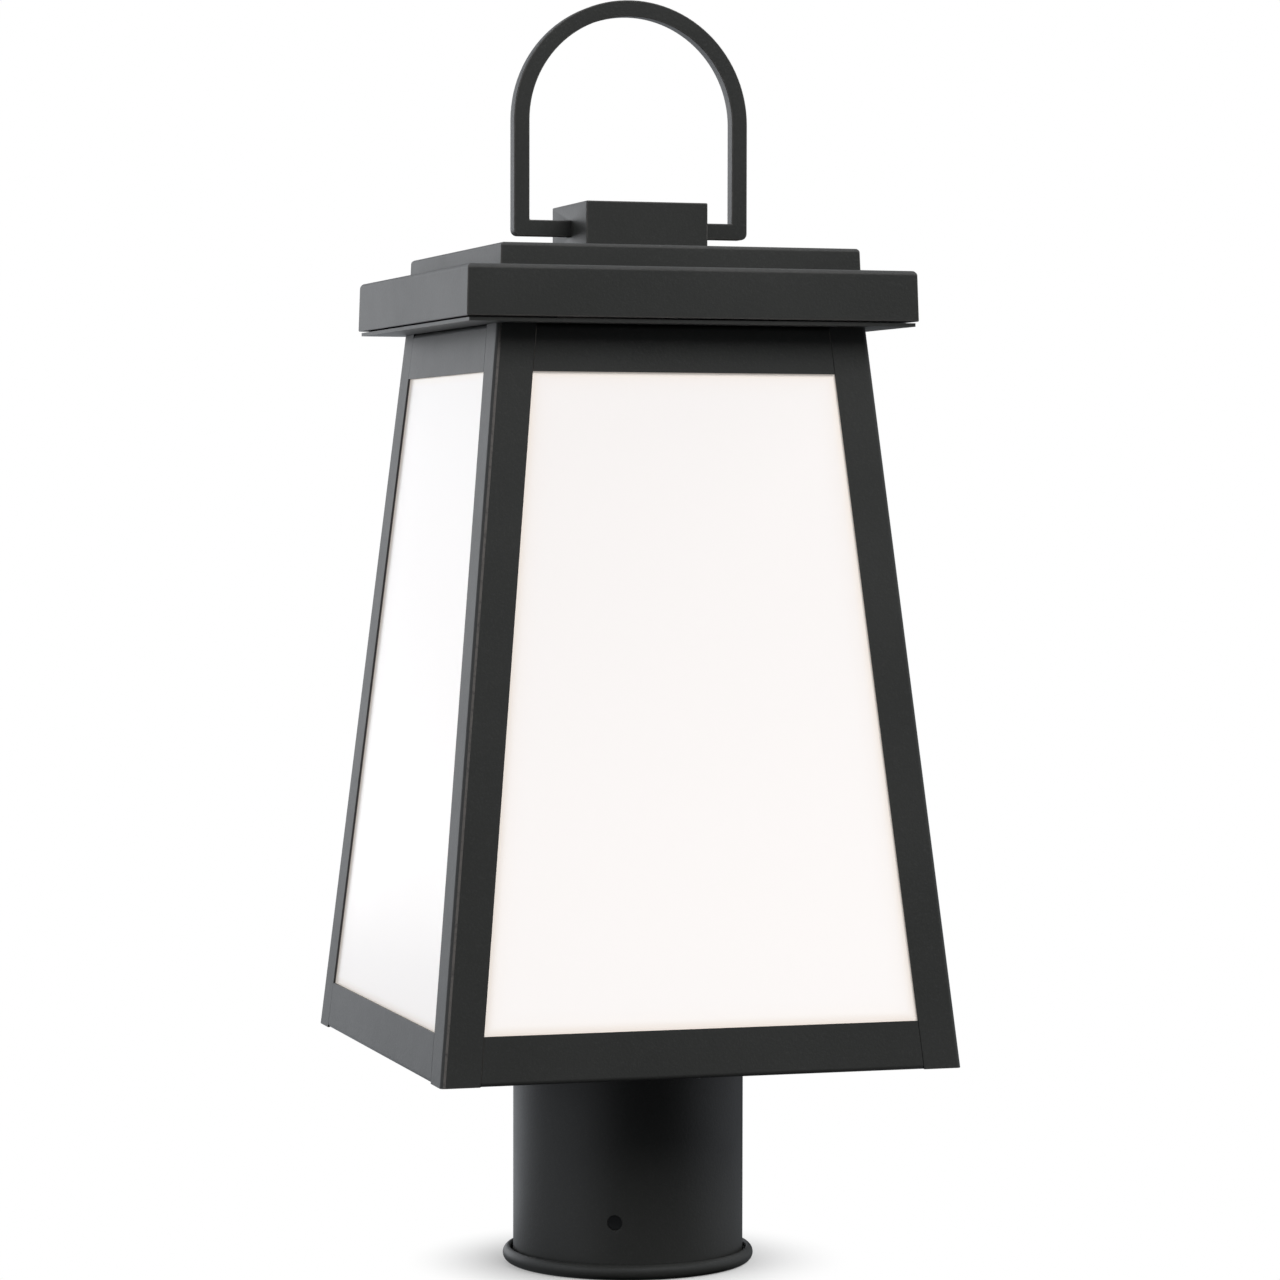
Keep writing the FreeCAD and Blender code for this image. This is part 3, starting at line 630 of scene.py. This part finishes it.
def roof_tray(name, node, half_a, low, half_b, high, size):
    """Shallow folded tray, open below, with soft upper edges and corners."""
    bm = frustum(half_a, low, half_b, high)
    floor = min(bm.faces, key=lambda f: f.calc_center_median().z)
    bmesh.ops.inset_region(bm, faces=[floor], thickness=ROOF_SHEET, use_even_offset=True)
    push(bm, floor, (0, 0, high - ROOF_SHEET - low))
    outer = [e for e in bm.edges if min(v.co.z for v in e.verts) > high - SAME_PLACE]
    mark_wear_and_shade(bm, round_edges(bm, outer, size, 5), 0.1)
    soften(bm, 0.4, 50.0)
    piece(name, as_mesh(bm, name), "roof", "black_powder_coat", coat_black, node)


def box_mesh(x0, x1, y0, y1, z0, z1):
    """Plain box, to cut with."""
    bm = new_mesh()
    for vert in bmesh.ops.create_cube(bm, size=2.0)["verts"]:
        vert.co = (x1 if vert.co.x > 0 else x0, y1 if vert.co.y > 0 else y0,
                   z1 if vert.co.z > 0 else z0)
    return as_mesh(bm, "box")


def loop_block():
    """Solid block with a socket in each side for a foot of the loop."""
    bm = frustum(BLOCK_HALF, STEP_HIGH, BLOCK_HALF, BLOCK_HIGH)
    mark_wear_and_shade(bm, round_edges(bm, bm.edges[:], 0.45, 3), 0.2)
    r = 0.5 * LOOP_BAR + 0.2
    sockets = []
    for side in (-1, 1):
        x0, x1 = sorted((side * (LOOP_FOOT - 0.2), side * (LOOP_FOOT + 12.0)))
        sockets.append(box_mesh(x0, x1, -r, r, BAR_MID - r, BAR_MID + r))
    piece("block", carve(as_mesh(bm, "block"), *sockets), "roof", "black_powder_coat",
          coat_black, "loop_block")


def carry_loop():
    """One square bar: half round top, straight legs, feet bent into the block."""
    bm = new_mesh()
    inn, y, spring = LOOP_OUT - LOOP_BAR, 0.5 * LOOP_BAR, LOOP_TOP - LOOP_OUT
    start = flat_face(bm, [(-LOOP_OUT, -y, spring), (-inn, -y, spring), (-inn, y, spring),
                           (-LOOP_OUT, y, spring)])
    made = bmesh.ops.spin(bm, geom=[start], cent=(0, 0, spring), axis=(0, 1, 0),
                          angle=math.pi, steps=56)
    last = next(g for g in made["geom_last"] if isinstance(g, bmesh.types.BMFace))
    low = BAR_MID - 0.5 * LOOP_BAR
    for face, side in ((start, -1), (last, 1)):
        push(bm, push(bm, face, (0, 0, low + LOOP_BAR - spring)), (0, 0, -LOOP_BAR))
        inward = next(f for f in bm.faces
                      if abs(f.calc_center_median().x - side * inn) < SAME_PLACE
                      and f.calc_center_median().z < low + LOOP_BAR)
        push(bm, inward, (side * (LOOP_FOOT - inn), 0, 0))
    bmesh.ops.recalc_face_normals(bm, faces=bm.faces)
    heel = [e for e in bm.edges if all(abs(abs(v.co.x) - LOOP_OUT) < SAME_PLACE
                                       and abs(v.co.z - low) < SAME_PLACE for v in e.verts)]
    round_edges(bm, heel, 2.2, 6)
    soften(bm, 0.4, 40.0)
    piece("handle_loop", as_mesh(bm, "loop"), "roof", "black_powder_coat", coat_black,
          "carry_loop")


roof_tray("skirt_tray", "roof_pan", SKIRT_HALF, SKIRT_LOW, SKIRT_HALF - SKIRT_FLARE,
          SKIRT_HIGH, SKIRT_ROUND)
roof_tray("step_tray", "roof_step", STEP_HALF, SKIRT_HIGH, STEP_HALF - STEP_FLARE,
          STEP_HIGH, STEP_ROUND)
loop_block()
carry_loop()
piece("feet_in_roof", refined("roof_feet", 0.2), "roof", "black_powder_coat", coat_black,
      "roof_feet")


# ---------------------------------------------------------------- fasteners

def cross_screw(shank, head, head_tall, long, pitch):
    """Screw with a cross recess, head up, its seat at the origin; flush if head_tall is 0."""
    neck = 0.02 * long if head_tall else head - shank
    shoulder = 0.35 * head_tall
    crown = head_tall - shoulder
    p = Profile(0, -long).to(0.7 * shank, -long).to(shank, -long + 0.35 * shank)
    turns = max(2, round((long - 0.4 * shank) / pitch))
    p.to(shank, -neck, 6 * turns)
    if head_tall:
        p.to(shank, 0.0).to(head, 0.0).to(head, shoulder)
        p.to(0.93 * head, shoulder + 0.42 * crown).to(0.72 * head, shoulder + 0.8 * crown)
        p.to(0.42 * head, head_tall).to(0, head_tall)
    else:
        p.to(head - 0.12, -0.12).to(head - 0.25, 0.0).to(0, 0.0)
    bm = p.spun(40)
    thread(bm, -long + 0.35 * shank, -neck, pitch, 0.16 * shank, 0.6 * shank, 0.6)
    mark_wear_and_shade(bm, [f for f in bm.faces if f.calc_center_median().z > shoulder], EDGE_RUB)
    wide, reach, low = 0.14 * head, 0.55 * head, head_tall - max(0.55 * head_tall, 0.4 * shank)
    return carve(as_mesh(bm, "screw"),
                 box_mesh(-reach, reach, -wide, wide, low, head_tall + 1),
                 box_mesh(-wide, wide, -reach, reach, low, head_tall + 1))


def around(count, radius, z, start=0.0, flip=False):
    """Places spread evenly on a circle, the first at start degrees from +X."""
    angles = [math.radians(start + 360.0 * k / count) for k in range(count)]
    return [at(radius * math.cos(a), radius * math.sin(a), z, flip) for a in angles]


def fixings(name, screw, places, body, slot, material, node):
    """One piece with a screw at each place."""
    piece(name, copies(screw, places, name), body, slot, material, node)


clip_screw = cross_screw(shank=1.95, head=3.5, head_tall=2.2, long=4.5, pitch=0.8)
flush_screw = cross_screw(shank=1.95, head=3.1, head_tall=0.0, long=6.5, pitch=0.8)
pan_bolt = cross_screw(shank=2.4, head=4.5, head_tall=3.2, long=8.0, pitch=1.0)
roof_inside = SKIRT_HIGH - ROOF_SHEET
block_bolt = cross_screw(shank=2.4, head=4.5, head_tall=3.2,
                         long=STEP_HIGH + BLOCK_BOLT_GRIP - roof_inside, pitch=1.0)
earth_screw = cross_screw(shank=1.95, head=4.2, head_tall=3.0, long=4.5, pitch=0.8)

top_seat = CAGE_TOP - SHEET
pan_half = half(PAN_HIGH) - GLASS_BACK - PAN_AIR
fixings("clip_fixings", clip_screw,
        around(4, half(PAN_HIGH) - CLIP_SCREW_OFF, PAN_HIGH + CLIP_THICK)
        + around(4, half(top_seat) - CLIP_SCREW_OFF, top_seat - CLIP_THICK, 0.0, True),
        "cage", "zinc_plated_steel", zinc, "clip_screws")
fixings("roof_fixings", flush_screw, around(2, HALF_TOP + ROOF_SCREW_OUT, CAGE_TOP, 90.0, True),
        "cage", "black_screws", oxide, "roof_screws")
fixings("pan_bolts", pan_bolt, around(3, SLEEVE_BOLT_CIRCLE, PAN_HIGH, 90.0),
        "cage", "zinc_plated_steel", zinc, "sleeve_bolts")
fixings("block_fixings", block_bolt, around(2, BLOCK_BOLT_PLACE, roof_inside, 90.0, True),
        "roof", "zinc_plated_steel", zinc, "block_bolts")
fixings("earth_fixing", earth_screw, [at(0, pan_half - 28.0, PAN_HIGH)],
        "cage", "green_screw", green, "earth_screw")


def lock_screws():
    """Headless screws with a hexagon socket that pinch the bar in the block."""
    low, high = STEP_HIGH + 0.4, BAR_MID - 0.5 * LOOP_BAR
    p = Profile(0, low).to(1.6, low).to(1.9, low + 0.3).to(1.9, high - 0.8, 24)
    bm = p.to(1.3, high).to(0, high).spun(36)
    thread(bm, low + 0.3, high - 0.8, 0.7, 0.25, 1.7, 0.4)
    hexagon = new_mesh()
    bmesh.ops.create_cone(hexagon, cap_ends=True, segments=6, radius1=1.0, radius2=1.0, depth=4.0,
                          matrix=Matrix.Translation((0, 0, low - 0.2)))
    mesh = carve(as_mesh(bm, "lock"), as_mesh(hexagon, "key"))
    fixings("loop_locks", mesh, [at(side * (BLOCK_HALF - 4.0), 0, 0) for side in (-1, 1)],
            "roof", "black_screws", oxide, "loop_lock_screws")


lock_screws()


# ---------------------------------------------------------------- lamp

def stem():
    """Threaded stem that carries the lampholder."""
    bore, chamfer, rad, break_edge = 3.5, 4.4, 4.85, 0.45
    low, high = STEM_LOW + break_edge, STEM_HIGH - break_edge
    p = Profile(bore, STEM_LOW).to(chamfer, STEM_LOW).to(rad, low).to(rad, high, 180)
    bm = p.to(chamfer, STEM_HIGH).to(bore, STEM_HIGH).close().spun(48)
    thread(bm, low, high, 1.0, 0.42, 4.6, 0.5)
    piece("threaded_stem", as_mesh(bm, "stem"), "cage", "zinc_plated_steel", zinc, "stem_pipe")


def holder_cup():
    """Drawn cup with a rolled lip, under the porcelain."""
    hole, turn_in, rad, inside, lip = 5.05, 19.0, 22.0, 20.8, CUP_LOW + 13.4
    p = Profile(hole, CUP_LOW).to(turn_in, CUP_LOW).arc(turn_in, CUP_LOW + 3.0, 90.0, 6)
    p.to(rad, lip).arc(0.5 * (rad + inside), lip, 180.0, 6).to(inside, CUP_FLOOR + 1.8)
    p.arc(turn_in, CUP_FLOOR + 1.8, -90.0, 5).to(hole, CUP_FLOOR).close()
    piece("enamel_cup", as_mesh(p.spun(96), "cup"), "cage", "white_holder_metal", enamel,
          "holder_cup")


def holder_body():
    """Porcelain body: well for the stem nut, groove round its foot, hollow for the shell."""
    well = STEM_NUT_FLATS / math.sqrt(3.0) + 1.5
    pocket, wire_way, hollow = CUP_FLOOR + 6.6, 3.9, 14.6
    rad, groove, foot, top = 20.5, 20.1, 18.0, BODY_HIGH - 2.0
    p = Profile(well, CUP_FLOOR).to(foot, CUP_FLOOR).to(rad, CUP_FLOOR + 2.5)
    p.to(rad, CUP_FLOOR + 13.2).to(groove, CUP_FLOOR + 13.6).to(groove, CUP_FLOOR + 14.6)
    p.to(rad, CUP_FLOOR + 15.0).to(rad, top).arc(rad - 2.0, top, 90.0, 6)
    p.to(hollow + 1.0, BODY_HIGH).arc(hollow + 1.0, BODY_HIGH - 1.0, 90.0, 4)
    p.to(hollow, SHELL_LOW).to(wire_way, SHELL_LOW).to(wire_way, pocket).to(well, pocket)
    piece("porcelain_body", as_mesh(p.close().spun(96), "body"), "cage", "white_porcelain",
          porcelain, "holder_body")


def screw_shell():
    """Thin brass shell with the round thread of the lampholder, and its contact."""
    hole, corner, rad, inside = 8.0, 13.3, 14.3, 13.8
    p = Profile(hole, SHELL_LOW).to(corner, SHELL_LOW).arc(corner, SHELL_LOW + 1.0, 90.0, 4)
    p.to(rad, SHELL_HIGH - 0.2, 90).to(0.5 * (rad + inside), SHELL_HIGH)
    p.to(inside, SHELL_HIGH - 0.2).to(inside, SHELL_LOW + 1.0, 90)
    bm = p.to(corner, SHELL_LOW + 0.5).to(hole, SHELL_LOW + 0.5).close().spun(64)
    thread(bm, SHELL_LOW + 2.5, SHELL_HIGH - 2.0, LAMP_PITCH, 0.4, 13.7, 1.5)
    piece("brass_shell", as_mesh(bm, "shell"), "cage", "brass", brass, "screw_shell")

    low, high, rad = SHELL_LOW - 4.0, SHELL_LOW + 3.4, 3.6
    p = Profile(0, low).to(rad, low).to(rad, high - 0.8).arc(rad - 0.8, high - 0.8, 90.0, 5)
    piece("brass_contact", as_mesh(p.to(0, high).spun(48), "contact"), "cage", "brass", brass,
          "centre_contact")


def bulb():
    """Threaded cap with its contact below, and the glass globe on a short neck."""
    tip, contact, rad, neck = BASE_LOW - 3.0, 3.6, 13.1, 12.8
    low, high = BASE_LOW + 1.6, BASE_HIGH - 3.2
    p = Profile(0, tip).to(contact, tip).arc(contact, tip + 0.7, 70.0, 4).to(4.8, tip + 1.1)
    p.to(7.5, tip + 1.3).to(12.0, BASE_LOW).to(12.9, BASE_LOW + 1.0)
    p.to(rad, low).to(rad, high, 72).to(neck, BASE_HIGH - 3.0)
    bm = p.to(neck, BASE_HIGH - 0.4).to(12.5, BASE_HIGH).to(0, BASE_HIGH).spun(64)
    thread(bm, low, high, LAMP_PITCH, 0.75, 12.9, 1.5)
    piece("bulb_cap", as_mesh(bm, "cap"), "bulb", "bulb_cap_nickel", nickel, "bulb_base")

    glass_neck, flare, middle = 12.4, 147.55, 194.5
    p = Profile(0, BASE_HIGH).to(glass_neck, BASE_HIGH).to(glass_neck, flare)
    p.arc(glass_neck + 40.0, flare, -36.0, 12).to(24.27, 176.87).arc(0.0, middle, 126.0, 40)
    piece("bulb_glass_globe", as_mesh(p.spun(96), "globe"), "bulb", "bulb_glass", soft_white,
          "bulb_globe")


stem()
holder_cup()
holder_body()
screw_shell()
bulb()


# ---------------------------------------------------------------- studio

WHITE = (1.0, 1.0, 1.0)
ROOM_TINT = (0.90, 0.94, 1.0)
ROOM_DARK = 0.03        # the reflected room on the camera's side
LAMP_AIM = (0, 0, 0.25)


def room_light(across, along):
    """How bright the room is in a reflection: bright beyond the object, dim to both sides."""
    beyond = along * 0.95 - across * 0.32
    aside = across.span(0.45, 1.0) * 0.33 + (0.0 - across).span(0.35, 0.95) * 0.32
    return (ROOM_DARK + beyond.span(0.65, 1.0) * (1.0 - ROOM_DARK)).run("MAXIMUM", aside)


def studio_floor():
    """Pale floor that fades to the white of the background away from the object."""
    bm = bmesh.new()
    bmesh.ops.create_grid(bm, x_segments=8, y_segments=8, size=8.0)
    bmesh.ops.translate(bm, verts=bm.verts, vec=(0, 0, -0.00005))
    mesh = bpy.data.meshes.new("floor")
    bm.to_mesh(mesh)
    bm.free()
    floor = bpy.data.objects.new("floor", mesh)
    bpy.context.scene.collection.objects.link(floor)
    f = Finish("pale_floor", Base_Color=(0.80, 0.80, 0.80, 1.0), Roughness=0.9,
               Specular_IOR_Level=0.1)
    spot = f.place()
    x, y = f.split(spot)[:2]
    far = f.add("ShaderNodeVectorMath", {"operation": "LENGTH"}, {0: spot}, out="Value")
    length = far.run("MAXIMUM", 0.01)
    lit = room_light(x.run("DIVIDE", length), y.run("DIVIDE", length))
    # painted shadow: the floor's glow seen in reflections is dimmed within 15 cm of the object
    lit = lit * (0.25 + far.span(0.0, 0.15) * 0.75)
    white = f.add("ShaderNodeEmission", {}, {"Color": WHITE, "Strength": 1.0})
    glow = f.add("ShaderNodeEmission", {}, {"Color": ROOM_TINT, "Strength": lit})
    # for diffuse rays the floor is a dark copy: painted shade that keeps its bounce light off the
    # object
    dim = f.add("ShaderNodeBsdfDiffuse", {}, {"Color": (0.06, 0.06, 0.06)})
    shown = f.ray("Camera").run("MAXIMUM", f.ray("Transmission"))
    surface = Value(f, f.shader.outputs[0])
    for share, other in ((f.ray("Glossy"), glow), (f.ray("Diffuse"), dim),
                         (shown * far.span(0.02, 0.08), white)):
        surface = f.add("ShaderNodeMixShader", {}, {0: share, 1: surface, 2: other})
    f.tree.links.new(surface.socket, f.tree.nodes["Material Output"].inputs["Surface"])
    mesh.materials.append(f.owner)


def studio_world():
    """White behind the object; the reflected room is dimmer on the camera's side."""
    world = bpy.data.worlds.new("studio")
    bpy.context.scene.world = world
    f = Finish("studio", world)
    f.tree.nodes.clear()
    across, along, up = f.split(f.add("ShaderNodeTexCoord", out="Generated"))
    reflected = room_light(across, along).run("MAXIMUM", up.span(0.2, 0.7) * 0.5)
    glossy = f.ray("Glossy")
    seen = f.ray("Camera").run("MAXIMUM", f.ray("Transmission"))
    level = seen + (1.0 - seen) * (glossy * reflected + (1.0 - glossy) * 0.12)
    tint = f.mix(glossy * (1.0 - seen), WHITE, ROOM_TINT)
    light = f.add("ShaderNodeBackground", {}, {"Color": tint, "Strength": level})
    out = f.tree.nodes.new("ShaderNodeOutputWorld")
    f.tree.links.new(light.socket, out.inputs[0])


def softbox(name, place, wide, tall, power, mirrored=False):
    """Area lamp that faces the middle of the object; only a mirrored one shows in gloss."""
    data = bpy.data.lights.new(name, "AREA")
    data.shape, data.size, data.size_y = "RECTANGLE", wide, tall
    data.energy = power
    lamp = bpy.data.objects.new(name, data)
    lamp.visible_camera = False
    lamp.visible_glossy = mirrored
    lamp.location = place
    lamp.rotation_euler = (Vector(LAMP_AIM) - Vector(place)).to_track_quat("-Z", "Y").to_euler()
    bpy.context.scene.collection.objects.link(lamp)


def camera():
    """Slightly above the middle, to the left of the front, looking a little down."""
    yaw, pitch, roll = math.radians(17.562), math.radians(-2.013), math.radians(0.120)
    frame_px, focal_px, centre_px = 1280.0, 4264.237, 700.0
    dist, aim_z, aside = 1498.820, 271.483, -25.076
    forward = Vector((math.sin(yaw) * math.cos(pitch), math.cos(yaw) * math.cos(pitch),
                      math.sin(pitch)))
    level = Vector((math.cos(yaw), -math.sin(yaw), 0.0))
    upward = level.cross(forward)
    right = math.cos(roll) * level + math.sin(roll) * upward
    up = -math.sin(roll) * level + math.cos(roll) * upward
    place = Vector((-math.sin(yaw) * dist, -math.cos(yaw) * dist, aim_z)) - aside * right
    data = bpy.data.cameras.new("camera")
    data.sensor_width = 36.0
    data.lens = focal_px / frame_px * data.sensor_width
    data.shift_x = (0.5 * frame_px - centre_px) / frame_px
    data.clip_end = 60.0
    cam = bpy.data.objects.new("camera", data)
    turned = Matrix((right, up, -forward)).transposed().to_4x4()
    cam.matrix_world = Matrix.Translation(place / 1000.0) @ turned
    bpy.context.scene.collection.objects.link(cam)
    bpy.context.scene.camera = cam


bpy.context.scene.view_settings.view_transform = "Standard"
studio_floor()
studio_world()
camera()
for name, x, y, z, power in (("front_box", 0.45, -1.25, 1.25, 20.5),
                             ("left_box", -1.3, -0.3, 0.75, 4.8),
                             ("back_box", -0.1, 1.3, 1.25, 13.0),
                             ("right_box", 1.3, 0.1, 1.25, 14.0)):
    softbox(name, (x, y, z), 0.9, 0.9, power)
softbox("rim_box", (-0.68, 2.09, 0.35), 1.4, 1.2, 4.2, mirrored=True)
